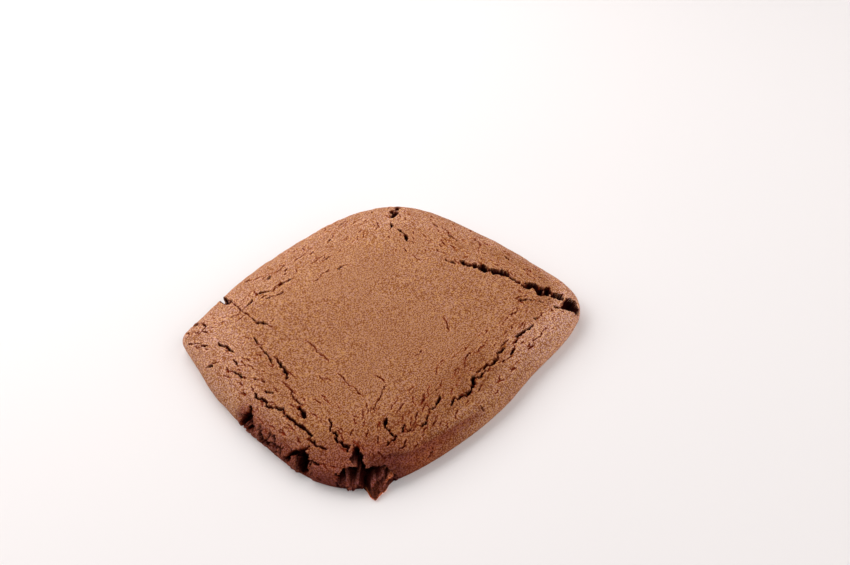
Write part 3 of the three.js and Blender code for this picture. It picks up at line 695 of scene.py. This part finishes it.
@dataclass(frozen=True)
class TornCorner:
    """The near corner: a slot torn open under the crust, ridges of crumb and a flake of bottom crust.

    Places are along the corner from its middle and up from the ground, in millimetres.
    """

    at: Point = (-51.0, -47.4)
    turn: float = -46.0
    roof: tuple[Point, ...] = (
        (-9.8, 5.2), (-8.7, 8.2), (-7.5, 9.1), (-5, 9.3), (-1, 9.1), (1.7, 8.8), (4, 8.6), (5.8, 8.4),
        (7, 8), (8, 7), (9.2, 5.7), (10, 4.6),
    )
    sill: tuple[Point, ...] = (
        (-9.8, 5.4), (-8, 5.2), (-5.2, 4.6), (-3, 5), (-1, 4.8), (1.6, 5.2), (3.6, 6.6), (5.4, 7),
        (6.4, 5.2), (9, 5.2), (10, 4.8),
    )
    deep: float = 6.0
    ridges: tuple[Route, ...] = (
        ((-7.1, 8.2), (-6.5, 5.6), (-5.7, 3.2)),
        ((-2.2, 6.9), (-2.7, 6), (-3.7, 3.2)),
        ((0.8, 8), (0.9, 6.8), (0.3, 5.2)),
        ((6.8, 7.1), (5.2, 6.1), (2.4, 4.8)),
        ((9, 5.6), (7.4, 4.2), (6, 3)),
    )
    ridge_half: float = 0.55
    ridge_share: float = 0.92
    flake: tuple[Point, ...] = (
        (-1.4, 0), (-0.6, 0.8), (0.8, 3.8), (1.7, 5), (2.9, 5.2), (3.8, 4.5), (5.5, 3.1), (6.4, 1.5),
        (7.2, 0.5), (8.6, 0),
    )
    flake_height: float = 6.0
    streak: float = 1.2
    lump_span: float = 1.5

    def _frame(self, points: Array) -> tuple[Array, Array, Array]:
        """Places seen from the corner.

        Args:
            points: places, one row each.

        Returns:
            Distance along the corner and outward from it, and the outward direction.
        """
        turn = math.radians(self.turn)
        ahead = np.array([math.cos(turn), math.sin(turn)])
        outward = np.array([math.sin(turn), -math.cos(turn)])
        spot = points[:, :2] - np.array(self.at)
        return spot @ ahead, spot @ outward, np.append(outward, 0.0)

    def near(self, points: Array) -> Array:
        """1 close to the torn corner, falling to 0 away from it."""
        along, out, _ = self._frame(points)
        return ramp(11.5, 10, np.abs(along)) * ramp(-7, -5, out)

    def _ridge(self, along: Array, height: Array) -> Array:
        """1 on the ridges of crumb, 0 between them.

        Args:
            along: distances along the corner.
            height: heights over the ground.

        Returns:
            One weight per place.
        """
        stand = np.zeros(len(along))
        spot = np.column_stack([along, height])
        for ridge in self.ridges:
            drop = 0.55 + 0.45 * ramp(ridge[0][1] + 0.5, ridge[-1][1], height)
            for top, foot in itertools.pairwise(ridge):
                leg = np.array(foot) - np.array(top)
                share = np.clip((spot - np.array(top)) @ leg / (leg @ leg), 0.0, 1.0)
                away = np.linalg.norm(spot - np.array(top) - share[:, None] * leg, axis=1)
                stand = np.maximum(stand, ramp(1.6 * self.ridge_half, 0.4 * self.ridge_half, away) * drop)
        return stand

    def shift(self, points: Array, noise: LatticeNoise) -> tuple[Array, dict[str, Array]]:
        """Tear the corner open and draw out the flake.

        Args:
            points: places of the smooth biscuit, one row each.
            noise: noise that frays the crumb.

        Returns:
            A move per place, and weights of how it is torn, bare, furrowed and ridged, of its toasted edges
            with their painted highlight, and of the painted shade over the corner.
        """
        along, out, outward = self._frame(points)
        height = points[:, 2]
        fray = noise.layered(points, 1.8, 3)
        near = self.near(points)
        roof = np.interp(along, *zip(*self.roof)) + 0.35 * fray
        sill = np.interp(along, *zip(*self.sill)) + 0.5 * fray
        under = near * ramp(roof, roof - 0.5, height)
        ridge = self._ridge(along + 0.3 * fray, height)
        torn = under * ramp(sill - 0.7, sill + 0.4, height) * (1.0 - self.ridge_share * ridge)
        drawn = np.interp(along + 0.3 * fray, *zip(*self.flake))
        drawn = drawn * ramp(self.flake_height, 0.0, height) * near
        slanted = np.column_stack([along + 0.9 * height, np.zeros(len(along)), 0.3 * height])
        grain = noise.layered(slanted, 1.3, 2)
        middle, seam, level = noise.cells(points + 0.4 * fray[:, None], self.lump_span)
        rough = 0.6 * grain + 0.5 - middle + 0.3 * level
        streaks = self.streak * rough * under * ramp(0, 1, height) * (1.0 - torn)
        flaked = np.clip(drawn / 2.0, 0.0, 1.0)
        thick = 1.0 - 0.5 * flaked
        furrow = np.maximum(ramp(-0.1, -0.6, grain), 0.8 * ramp(0.16, 0.02, seam))
        knob = 0.35 * ramp(0.2, 0.7, level) * (1.0 - torn)
        rim = np.maximum(ramp(1.2, 0.4, height), 0.5 * ramp(-1.2, -0.4, along) * ramp(1, 0.2, along))
        over = ramp(-9.0 - 2.0 * ramp(3, 9, along), -2.0, out)
        move = drawn + streaks - torn * (self.deep + 0.8 * fray)
        shown = {
            "torn": torn,
            "bare": under * ramp(-11, -9, along) * ramp(10.5, 9, along),
            "furrow": under * furrow * thick,
            "ridge": under * (0.5 * ridge + knob * thick),
            # Toasted flake rim and last ridge, brightened as a painted highlight.
            "toasted_and_highlit": flaked * (0.06 + 0.9 * rim) + 0.9 * under * ridge * ramp(6, 7.5, along),
            # Painted shade over the crust as it turns down at the corner.
            "corner_shade": over * ramp(-2, 2.5, along) * ramp(20, 9, along),
        }
        return move[:, None] * outward, shown


class Graph:
    """The node tree of one material."""

    def __init__(self, tree: bpy.types.NodeTree) -> None:
        """Empty the tree to build in."""
        self.tree = tree
        tree.nodes.clear()

    def add(self, kind: str, settings: dict | None = None, **sockets: object) -> bpy.types.Node:
        """Make one node.

        Args:
            kind: the node's type name.
            settings: properties to set before the sockets.
            sockets: values or links, by socket name with _ for a space.

        Returns:
            The node.
        """
        node = self.tree.nodes.new(kind)
        for name, value in (settings or {}).items():
            setattr(node, name, value)
        for name, value in sockets.items():
            self.feed(node.inputs[name.replace("_", " ")], value)
        return node

    def feed(self, socket: bpy.types.NodeSocket, value: object) -> None:
        """Give a socket a value or a link.

        Args:
            socket: the socket.
            value: a number, a tuple, a socket or a Value.
        """
        if isinstance(value, Value):
            value = value.socket
        if isinstance(value, bpy.types.NodeSocket):
            self.tree.links.new(value, socket)
        else:
            socket.default_value = value

    def mix(self, share: object, first: object, second: object, blend: str = "MIX") -> bpy.types.NodeSocket:
        """Blend two colours.

        Args:
            share: how much of the second colour shows.
            first: colour or link.
            second: colour or link.
            blend: how the second colour is laid over the first.

        Returns:
            The blended colour.
        """
        node = self.add("ShaderNodeMix", {"data_type": "RGBA", "blend_type": blend})
        self.feed(node.inputs["Factor"], share)
        for socket, colour in ((node.inputs[6], first), (node.inputs[7], second)):
            self.feed(socket, (*colour, 1.0) if isinstance(colour, tuple) else colour)
        return node.outputs[2]


class Value:
    """A number in a shader, with Python's operators."""

    def __init__(self, graph: Graph, socket: bpy.types.NodeSocket) -> None:
        """Wrap the output that carries the number."""
        self.graph = graph
        self.socket = socket

    def _do(self, operation: str, first: object, second: object, clamp: bool = False) -> "Value":
        """Make one Math node.

        Args:
            operation: its operation.
            first: number or link.
            second: number or link.
            clamp: whether the result is kept from 0 to 1.

        Returns:
            The result.
        """
        node = self.graph.add("ShaderNodeMath", {"operation": operation, "use_clamp": clamp})
        self.graph.feed(node.inputs[0], first)
        self.graph.feed(node.inputs[1], second)
        return Value(self.graph, node.outputs[0])

    def __add__(self, other: "Value | float") -> "Value":
        """Sum."""
        return self._do("ADD", self, other)

    __radd__ = __add__

    def __sub__(self, other: "Value | float") -> "Value":
        """Difference."""
        return self._do("SUBTRACT", self, other)

    def __rsub__(self, other: "Value | float") -> "Value":
        """Difference from a number."""
        return self._do("SUBTRACT", other, self)

    def __mul__(self, other: "Value | float") -> "Value":
        """Product."""
        return self._do("MULTIPLY", self, other)

    __rmul__ = __mul__

    def clamp(self) -> "Value":
        """The number kept from 0 to 1."""
        return self._do("ADD", self, 0.0, clamp=True)

    def step(self, low: float, high: float) -> "Value":
        """Smooth step from 0 at one number to 1 at another.

        Args:
            low: number that gives 0.
            high: number that gives 1.

        Returns:
            The step.
        """
        settings = {"interpolation_type": "SMOOTHSTEP"}
        node = self.graph.add("ShaderNodeMapRange", settings, Value=self, From_Min=low, From_Max=high)
        return Value(self.graph, node.outputs["Result"])


@dataclass(frozen=True)
class CrustFinish:
    """Matte spiced crust: colours in linear light, laid over each other in order, and grains per metre.
    Some colours are painted shade, sheen and highlights.
    """

    pale: Colour = (0.425, 0.192, 0.097)
    # Browned crust, which also stands in as painted shade towards the near corner and over the front roll.
    baked_and_shaded: Colour = (0.262, 0.099, 0.043)
    # Painted shade: dark red in the front crease, near the near corner and low on the front side.
    red_shade: Colour = (0.21, 0.052, 0.022)
    # Painted sheen: paler, cooler rims where light glances off the crust.
    painted_sheen: Colour = (0.50, 0.25, 0.158)
    # Painted shade: laid on sides and edges that turn away from the light.
    side: Colour = (0.2, 0.05, 0.034)
    # Bare crumb, also laid as painted shade low on the side near the torn corner.
    crumb_and_shade: Colour = (0.13, 0.027, 0.019)
    ridge: Colour = (0.24, 0.066, 0.046)
    # Toasted edges, brightened as a painted highlight on the flake's rim and a ridge.
    toasted_and_highlit: Colour = (0.7, 0.19, 0.075)
    # Dark red crack walls, also painted shade along the rims of deep cracks.
    wall_and_shade: Colour = (0.17, 0.018, 0.004)
    # Painted shade: near black in deep cracks, the torn slot, its furrows and deep losses.
    crack: Colour = (0.022, 0.0012, 0.0006)
    shaded: Colour = (0.6, 0.38, 0.22)
    lit: Colour = (1.4, 1.62, 1.78)
    warm: Colour = (1.05, 1.02, 0.72)
    cool: Colour = (0.95, 0.98, 1.3)
    fine: float = 2000.0
    coarse: float = 700.0
    mottle: float = 75.0
    wrinkle: float = 520.0
    wrinkle_width: float = 0.05
    wrinkle_dark: float = 0.8
    wrinkle_stretch: float = 0.28
    bump: float = 0.22
    bump_height: float = 0.0003
    roughness: float = 0.92
    specular: float = 0.05
    # Strength of the painted highlight along the lips of cracks.
    lip: float = 0.22

    def tints(self, shares: dict[str, Array]) -> Array:
        """Lay the colours over each other.

        Args:
            shares: how much of each named colour shows at every place, from the lowest layer up.

        Returns:
            One colour per place.
        """
        count = len(next(iter(shares.values())))
        tint = np.tile(np.array(self.pale), (count, 1))
        for name, share in shares.items():
            tint += np.clip(share, 0.0, 1.0)[:, None] * (np.array(getattr(self, name)) - tint)
        return tint

    def material(self) -> bpy.types.Material:
        """Build the crust's material.

        Returns:
            The material.
        """
        made = bpy.data.materials.new("baked_dough")
        made.use_nodes = True
        graph = Graph(made.node_tree)
        place = graph.add("ShaderNodeTexCoord").outputs["Object"]

        def grain(scale: float, detail: float, vector: bpy.types.NodeSocket = place) -> Value:
            """Noise of one size over the crust."""
            node = graph.add("ShaderNodeTexNoise", Vector=vector, Scale=scale, Detail=detail, Roughness=0.6)
            return Value(graph, node.outputs["Fac"])

        def painted(name: str) -> Value:
            """A value stored on the mesh."""
            return Value(graph, graph.add("ShaderNodeAttribute", {"attribute_name": name}).outputs["Fac"])

        def wrinkles(stretch: Place) -> Value:
            """Fine broken lines, drawn out in one direction.

            Args:
                stretch: scale of the pattern along each axis.

            Returns:
                1 on the lines, 0 between them.
            """
            drawn_out = graph.add("ShaderNodeVectorMath", {"operation": "MULTIPLY"}, Vector=place)
            drawn_out.inputs[1].default_value = stretch
            level = grain(self.wrinkle, 2.0, drawn_out.outputs["Vector"]) - 0.5
            return 1.0 - (level * level).step(0.0, self.wrinkle_width**2)

        fine = grain(self.fine, 1.0)
        coarse = grain(self.coarse, 2.0)
        mottle = grain(self.mottle, 3.0)
        tint = graph.add("ShaderNodeAttribute", {"attribute_name": "tint"}).outputs["Color"]
        lines = painted("across") * wrinkles((self.wrinkle_stretch, 1.0, 1.0))
        lines = lines + painted("along") * wrinkles((1.0, self.wrinkle_stretch, 1.0))
        lines = lines * (mottle + coarse).step(0.95, 1.15)
        level = 0.5 + 5.0 * (fine - 0.5) + 0.9 * (coarse - 0.5) + 0.35 * (mottle - 0.5)
        tone = graph.mix((level - self.wrinkle_dark * lines).clamp(), self.shaded, self.lit)
        hue = (0.5 + 4.5 * (grain(0.8 * self.fine, 1.0) - 0.5)).clamp()
        speckle = graph.mix(hue, self.warm, self.cool)
        colour = graph.mix(1.0, graph.mix(1.0, tint, speckle, "MULTIPLY"), tone, "MULTIPLY")
        height = fine + 0.8 * coarse - lines
        bump = graph.add("ShaderNodeBump", Strength=self.bump, Distance=self.bump_height, Height=height)
        shader = graph.add(
            "ShaderNodeBsdfPrincipled", Base_Color=colour, Roughness=self.roughness,
            Normal=bump.outputs["Normal"], Specular_IOR_Level=self.specular,
        )
        graph.add("ShaderNodeOutputMaterial", Surface=shader.outputs["BSDF"])
        return made


@dataclass
class Biscuit:
    """The whole biscuit: one closed crust, modelled from a cube. Sizes and places in millimetres."""

    name: str = "biscuit_crust"
    outline: Outline = field(default_factory=Outline)
    section: Section = field(default_factory=Section)
    hairlines: Hairlines = field(default_factory=Hairlines)
    crumbled: CrumbledSide = field(default_factory=CrumbledSide)
    torn: TornCorner = field(default_factory=TornCorner)
    finish: CrustFinish = field(default_factory=CrustFinish)
    seed: int = 7
    cells: int = 44
    rows: int = 2
    passes: int = 4
    finest: float = 0.28
    broken: float = 0.33
    border: float = 0.95
    plain: float = 1.8
    underside: float = 4.0
    grade: float = 0.55
    slack: float = 1.45
    lip: float = 0.14
    lip_reach: float = 0.7
    # Reach of the painted highlight along the lips of cracks.
    lip_highlight_reach: float = 0.6
    grain: float = 0.06
    grain_span: float = 1.6
    lump: float = 0.16
    lump_span: float = 7.0
    swell: float = 0.35
    swell_span: float = 34.0
    crease: float = 1.8
    crease_height: float = 7.4
    crease_reach: float = 2.2
    crease_climb: float = 1.6
    crease_stray: float = 0.4
    crease_span: float = 9.0
    from_corner: Point = (0.67, 0.743)
    # Painted sheen on the rims: its share by direction in degrees, and its reach inward in millimetres.
    sheen_share: tuple[Point, ...] = (
        (0, 0.65), (15, 0.3), (40, 0.5), (60, 0.35), (80, 0.35), (100, 0.3), (120, 0.4), (140, 0.7),
        (160, 0.55), (175, 0.4), (200, 0.1), (215, 0.1), (235, 0.05), (255, 0.1), (280, 0.2), (300, 0.8),
        (315, 1.0), (330, 0.8), (345, 0.55), (360, 0.65),
    )
    sheen_reach: tuple[Point, ...] = (
        (0, 14), (40, 28), (100, 24), (140, 28), (180, 16), (200, 12), (240, 8), (280, 8), (300, 18),
        (330, 8), (345, 8), (360, 14),
    )

    def __post_init__(self) -> None:
        """Set up the noise and the cracks."""
        self.noise = LatticeNoise(self.seed)
        named = LEFT_CRACKS + SIDE_FISSURES + BACK_CRACKS + RIGHT_CRACKS + FRONT_CRACKS
        self.cracks = CrackField(list(named) + self.hairlines.scatter(self.outline), self.noise, self.seed)

    def _blank(self) -> bmesh.types.BMesh:
        """A cube whose six faces are cut into a grid, finer on top and round the sides than below.

        Returns:
            The cube.
        """
        bm = bmesh.new()
        bmesh.ops.create_cube(bm, size=2.0)
        level = [e for e in bm.edges if abs(e.verts[0].co.z - e.verts[1].co.z) < 0.5]
        bmesh.ops.subdivide_edges(bm, edges=level, cuts=self.cells - 1, use_grid_fill=True)
        upright = [e for e in bm.edges if abs(e.verts[0].co.z - e.verts[1].co.z) > 0.5]
        bmesh.ops.subdivide_edges(bm, edges=upright, cuts=self.rows - 1, use_grid_fill=True)
        upper = [e for e in bm.edges if max(v.co.z for v in e.verts) > -0.99]
        bmesh.ops.subdivide_edges(bm, edges=upper, cuts=1, use_grid_fill=True)
        bmesh.ops.triangulate(bm, faces=bm.faces[:])
        return bm

    def _smooth(self, cube: Array) -> Array:
        """Carry places on the cube to the smooth biscuit.

        Args:
            cube: places on the cube, one row each.

        Returns:
            Places on the biscuit.
        """
        ring = np.abs(cube[:, :2]).max(axis=1)
        angle = np.arctan2(cube[:, 1], cube[:, 0])
        edge = self.outline.radius(angle)
        arc, inset, height = self.section.roll_line()
        flat = edge - self.section.roll
        past = ring * (flat + arc[-1]) - flat
        top_inset = np.where(past < 0.0, self.section.roll - past, np.interp(past, arc, inset))
        top_height = np.interp(past, arc, height)
        low_height = self.section.girth_height * (cube[:, 2] + 1.0) / 2.0
        low_inset = edge - ring * (edge - self.section.foot(low_height))
        upper = cube[:, 2] > 1.0 - 1e-6
        radius = edge - np.where(upper, top_inset, low_inset)
        plan = radius[:, None] * np.column_stack([np.cos(angle), np.sin(angle)]) - self.outline.middle()
        return np.column_stack([plan, np.where(upper, top_height, low_height)])

    def _wanted(self, points: Array) -> Array:
        """Edge length that each place asks for.

        Args:
            points: places on the smooth biscuit, one row each.

        Returns:
            One length per place.
        """
        x, y, height = points.T
        _, gap, _ = self.cracks.sample(points)
        size = self.border + (self.plain - self.border) * ramp(22, 32, self.outline.inset(points))
        size = np.minimum(size, self.finest + self.grade * np.maximum(gap, 0.0))
        broken = ramp(6, 4, y) * ramp(-58, -60, x) * ramp(10.5, 9.5, height)
        broken = np.maximum(broken, self.torn.near(points))
        size = size + (np.minimum(size, self.broken) - size) * broken
        return np.where(height < 0.02, self.underside, size)

    def _refine(self, bm: bmesh.types.BMesh) -> None:
        """Cut edges that are longer than their place asks for.

        Args:
            bm: the cube.
        """
        for _ in range(self.passes):
            points = self._smooth(np.array([v.co[:] for v in bm.verts]))
            wanted = self._wanted(points)
            bm.verts.index_update()
            ends = np.array([(e.verts[0].index, e.verts[1].index) for e in bm.edges])
            length = np.linalg.norm(points[ends[:, 0]] - points[ends[:, 1]], axis=1)
            long = length > self.slack * wanted[ends].min(axis=1)
            chosen = [e for e, cut in zip(bm.edges, long) if cut]
            if not chosen:
                break
            bmesh.ops.subdivide_edges(bm, edges=chosen, cuts=1)
            bmesh.ops.triangulate(bm, faces=[f for f in bm.faces if len(f.verts) > 3])

    def _shape(self, points: Array, normals: Array) -> tuple[Array, dict[str, Array]]:
        """Give the smooth biscuit its cracks, crags and grain.

        Args:
            points: places on the smooth biscuit, one row each.
            normals: outward directions there.

        Returns:
            The places moved, and what is marked at each, by name.
        """
        x, y, height = points.T
        level = np.array([1.0, 1.0, 0.0])
        flat = points * level
        inset = self.outline.inset(points)
        crust = ramp(0.3, 1.2, height)
        sunk, gap, below = self.cracks.sample(points)
        sunk = sunk * crust
        lip = self.lip * np.exp(-((np.maximum(gap, 0.0) / self.lip_reach) ** 2)) * (gap > 0.0) * crust
        grain = self.grain * self.noise.layered(points, self.grain_span, 2) * crust
        lumps = self.lump * self.noise.layered(points + 40.0, self.lump_span, 2) * crust
        moved = points + normals * (lip + grain + lumps - sunk)[:, None]
        rise = self.swell * self.noise.smooth(flat, self.swell_span)
        rise = rise * np.clip(inset / self.section.roll, 0.0, 1.0)
        moved[:, 2] += np.where(height > self.section.girth_height, rise, 0.0)
        inward = -normals * level
        inward /= np.maximum(np.linalg.norm(inward, axis=1), 1e-6)[:, None]
        side = self.crumbled.marks(points, self.noise)
        middle = self.crease_height + self.crease_climb * ramp(-36, -44, x)
        middle = middle + self.crease_stray * self.noise.smooth(flat, self.crease_span)
        crease = ramp(self.crease_reach, 0.0, np.abs(height - middle))
        crease *= ramp(-45, -52, y) * ramp(2, -14, x) * ramp(-47, -43, x)
        moved += inward * (side["loss"] + self.crease * crease)[:, None]
        tear, corner = self.torn.shift(points, self.noise)
        moved += tear
        moved[:, 2] = np.maximum(moved[:, 2], 0.0)
        border = ramp(32, 18, inset) * ramp(1, 4, inset)
        upright = ramp(-12, 12, np.abs(x) - np.abs(y))
        marks = {
            "inset": inset,
            "sunk": sunk,
            "gap": gap,
            # Rims of deep cracks, which get painted shade.
            "rim": ramp(0.24, 0, gap) * ramp(1.2, 3.2, below) * crust,
            "deep": ramp(2.4, 5, below),
            "crease": crease,
            "along": border * upright,
            "across": border * (1.0 - upright),
        }
        return moved, marks | side | corner

    def _tints(self, points: Array, marks: dict[str, Array]) -> Array:
        """Colour the crust, with painted shade that darkens it towards the near corner, in creases and in
        hollows, and painted sheen and highlights on rims and crack lips.

        Args:
            points: places on the smooth biscuit, one row each.
            marks: what is marked at each, by name.

        Returns:
            One colour per place.
        """
        x, y, height = points.T
        inset, sunk, gap, rim, crease = (marks[k] for k in ("inset", "sunk", "gap", "rim", "crease"))
        bare, loss, dark = (marks[k] for k in ("bare", "loss", "corner_shade"))
        away = self.from_corner[0] * x + self.from_corner[1] * y
        turn = np.degrees(np.arctan2(y, x)) % 360.0
        # Painted sheen on the rims: share by direction, fading inward over its reach.
        sheen_share = np.interp(turn, *zip(*self.sheen_share))
        sheen_share = sheen_share * ramp(1, 0.5, inset / np.interp(turn, *zip(*self.sheen_reach)))
        front = ramp(-36, -46, y) * ramp(20, 0, x)
        right = ramp(35, 52, x) * ramp(-58, -40, y)
        # Painted shade near the near corner.
        corner = 0.6 * ramp(-55, -65, away) * ramp(-36, -42, x)
        # Browned crust with painted shade: darker towards the near corner and over the front roll, paler
        # towards the back.
        baked_and_shaded = 0.47 + 0.05 * ramp(24, 38, inset) - 0.005 * away + 0.0004 * (x - y)
        baked_and_shaded += 0.4 * ramp(-48, -62, away) - 0.25 * ramp(15, 45, y)
        baked_and_shaded += 0.25 * ramp(16, 5, inset) * right
        baked_and_shaded += front * (0.35 * ramp(5, 9, inset) - 0.15 * ramp(8, 5, inset))
        # Painted shade: in the front crease, near the near corner and low on the front side.
        red_shade = 0.6 * ramp(-54, -69, away) + 0.75 * crease**1.5
        red_shade += 0.33 * ramp(8.5, 6, height) * ramp(-40, -52, y) * ramp(-4, -30, x)
        # Painted shade where the crust turns over the crumbled side and the torn corner, and near the near
        # corner.
        side = np.maximum(0.8 * np.maximum(marks["side_shade"], dark), 0.9 * corner)
        crumb_and_shade = 0.6 * ramp(0.4, 1.2, loss)
        # Painted shade low on the side near the torn corner.
        crumb_and_shade += 0.8 * ramp(8.8, 5, height) * ramp(-30, -36, y) * ramp(-48, -55, x)
        crumb_and_shade += bare * (0.85 + 0.5 * self.noise.layered(points, 0.8, 2))
        # Painted shade: near black deep in cracks, over the torn corner, in the torn slot and its furrows,
        # in deep losses and at the rims of deep cracks; dark flecks on bare crumb.
        crack = ramp(0.4, 1, sunk) + 0.45 * dark**1.5 + ramp(0.1, 0.6, marks["torn"])
        crack += 0.9 * marks["furrow"] * (1.0 - ramp(0.4, 0.9, marks["toasted_and_highlit"]))
        crack += 0.9 * ramp(0.7, 1.3, loss)
        crack += 0.75 * bare * ramp(-0.25, 0.4, self.noise.layered(points + 80.0, 1.0, 2))
        crack += rim * marks["deep"]
        shallow = ramp(1.5, 0.5, sunk)
        whole = 1.0 - marks["crumbled"]
        # Painted highlight along the lips of cracks.
        lip_highlight = np.exp(-((np.maximum(gap, 0.0) / self.lip_highlight_reach) ** 2)) * (gap > 0.0) * whole
        layers = {
            "baked_and_shaded": baked_and_shaded,
            "painted_sheen": sheen_share * ramp(0.3, 1, height) * whole,
            "red_shade": red_shade,
            # Painted shade on sides turned from the light, with more in the front crease.
            "side": side + 0.35 * crease**2,
            "crumb_and_shade": crumb_and_shade,
            "wall_and_shade": np.maximum(ramp(0, 0.18, sunk), 0.8 * rim),
            "crack": crack,
            "ridge": marks["ridge"] * shallow,
            "toasted_and_highlit": marks["toasted_and_highlit"] * shallow,
        }
        return self.finish.tints(layers) * (1.0 + self.finish.lip * lip_highlight)[:, None]

    def build(self) -> bpy.types.Object:
        """Model the biscuit and hand it to the frame.

        Returns:
            The finished piece.
        """
        bm = self._blank()
        self._refine(bm)
        points = self._smooth(np.array([v.co[:] for v in bm.verts]))
        for vert, place in zip(bm.verts, points):
            vert.co = place
        bm.normal_update()
        moved, marks = self._shape(points, np.array([v.normal[:] for v in bm.verts]))
        for vert, place in zip(bm.verts, moved * MM):
            vert.co = place
        bmesh.ops.recalc_face_normals(bm, faces=bm.faces[:])
        mesh = bpy.data.meshes.new(self.name)
        bm.to_mesh(mesh)
        bm.free()
        # The tint carries the crust's colours together with its painted shade, sheen and highlights.
        painted = np.column_stack([self._tints(points, marks), np.ones(len(points))]).astype(np.float32)
        mesh.attributes.new("tint", "FLOAT_COLOR", "POINT").data.foreach_set("color", painted.ravel())
        for name in ("along", "across"):
            share = marks[name].astype(np.float32)
            mesh.attributes.new(name, "FLOAT", "POINT").data.foreach_set("value", share)
        mesh.shade_smooth()
        mesh.materials.append(self.finish.material())
        piece = bpy.data.objects.new(self.name, mesh)
        bpy.context.scene.collection.objects.link(piece)
        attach(piece, "root")
        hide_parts("biscuit")
        return piece


@dataclass(frozen=True)
class Lamp:
    """A square soft light aimed at the biscuit: its place and width in metres, and its power in watts."""

    name: str
    at: Place
    size: float
    power: float


@dataclass(frozen=True)
class Studio:
    """Pale floor, soft light from behind and from both sides, and the camera. Sizes in metres."""

    floor_size: float = 6.0
    floor_colour: Colour = (0.775, 0.725, 0.715)
    floor_glow: float = 0.07
    sky: float = 0.04
    lamps: tuple[Lamp, ...] = (
        Lamp("back", (0.10, 0.36, 0.46), 0.60, 3.0),
        Lamp("left", (-0.50, 0.60, 0.60), 0.90, 6.2),
        Lamp("front", (0.22, -0.92, 0.55), 1.10, 7.8),
        Lamp("right", (0.70, -0.30, 0.42), 0.70, 1.8),
    )
    camera_at: Place = (-0.1400, -0.1852, 0.2504)
    camera_look: Place = (0.4803, 0.5324, -0.697)
    camera_right: Place = (0.6916, -0.7187, -0.0724)
    lens: float = 36.0
    sensor: float = 36.0

    def floor(self) -> bpy.types.Object:
        """Lay the floor.

        Returns:
            The floor.
        """
        bm = bmesh.new()
        bmesh.ops.create_grid(bm, x_segments=1, y_segments=1, size=self.floor_size / 2)
        mesh = bpy.data.meshes.new("floor")
        bm.to_mesh(mesh)
        bm.free()
        paint = bpy.data.materials.new("floor")
        paint.use_nodes = True
        graph = Graph(paint.node_tree)
        shader = graph.add(
            "ShaderNodeBsdfPrincipled", Base_Color=(*self.floor_colour, 1.0), Roughness=0.9,
            Emission_Color=(1.0, 1.0, 1.0, 1.0), Emission_Strength=self.floor_glow,
        )
        graph.add("ShaderNodeOutputMaterial", Surface=shader.outputs["BSDF"])
        mesh.materials.append(paint)
        floor = bpy.data.objects.new("floor", mesh)
        bpy.context.scene.collection.objects.link(floor)
        return floor

    def light(self) -> None:
        """Set the sky and the lamps."""
        world = bpy.data.worlds.new("sky")
        world.use_nodes = True
        graph = Graph(world.node_tree)
        sky = graph.add("ShaderNodeBackground", Color=(1.0, 0.99, 0.985, 1.0), Strength=self.sky)
        graph.add("ShaderNodeOutputWorld", Surface=sky.outputs["Background"])
        bpy.context.scene.world = world
        for lamp in self.lamps:
            data = bpy.data.lights.new(lamp.name, "AREA")
            data.size = lamp.size
            data.energy = lamp.power
            light = bpy.data.objects.new(lamp.name, data)
            light.location = lamp.at
            light.rotation_mode = "QUATERNION"
            light.rotation_quaternion = (-Vector(lamp.at)).to_track_quat("-Z", "Y")
            light.visible_camera = False
            bpy.context.scene.collection.objects.link(light)

    def camera(self) -> None:
        """Set up the camera."""
        look = Vector(self.camera_look).normalized()
        right = Vector(self.camera_right).normalized()
        turned = Matrix((right, right.cross(look), -look)).transposed().to_4x4()
        data = bpy.data.cameras.new("camera")
        data.lens = self.lens
        data.sensor_width = self.sensor
        data.clip_start = 0.01
        eye = bpy.data.objects.new("camera", data)
        eye.matrix_world = Matrix.Translation(self.camera_at) @ turned
        bpy.context.scene.collection.objects.link(eye)
        bpy.context.scene.camera = eye
        bpy.context.scene.view_settings.view_transform = "Standard"


def main() -> None:
    """Build the biscuit and its studio."""
    logging.basicConfig(level=logging.INFO, format="%(message)s")
    piece = Biscuit().build()
    LOG.info("%s: %d triangles", piece.name, len(piece.data.polygons))
    studio = Studio()
    LOG.info("%s laid", studio.floor().name)
    studio.light()
    studio.camera()


if __name__ == "__main__":
    main()
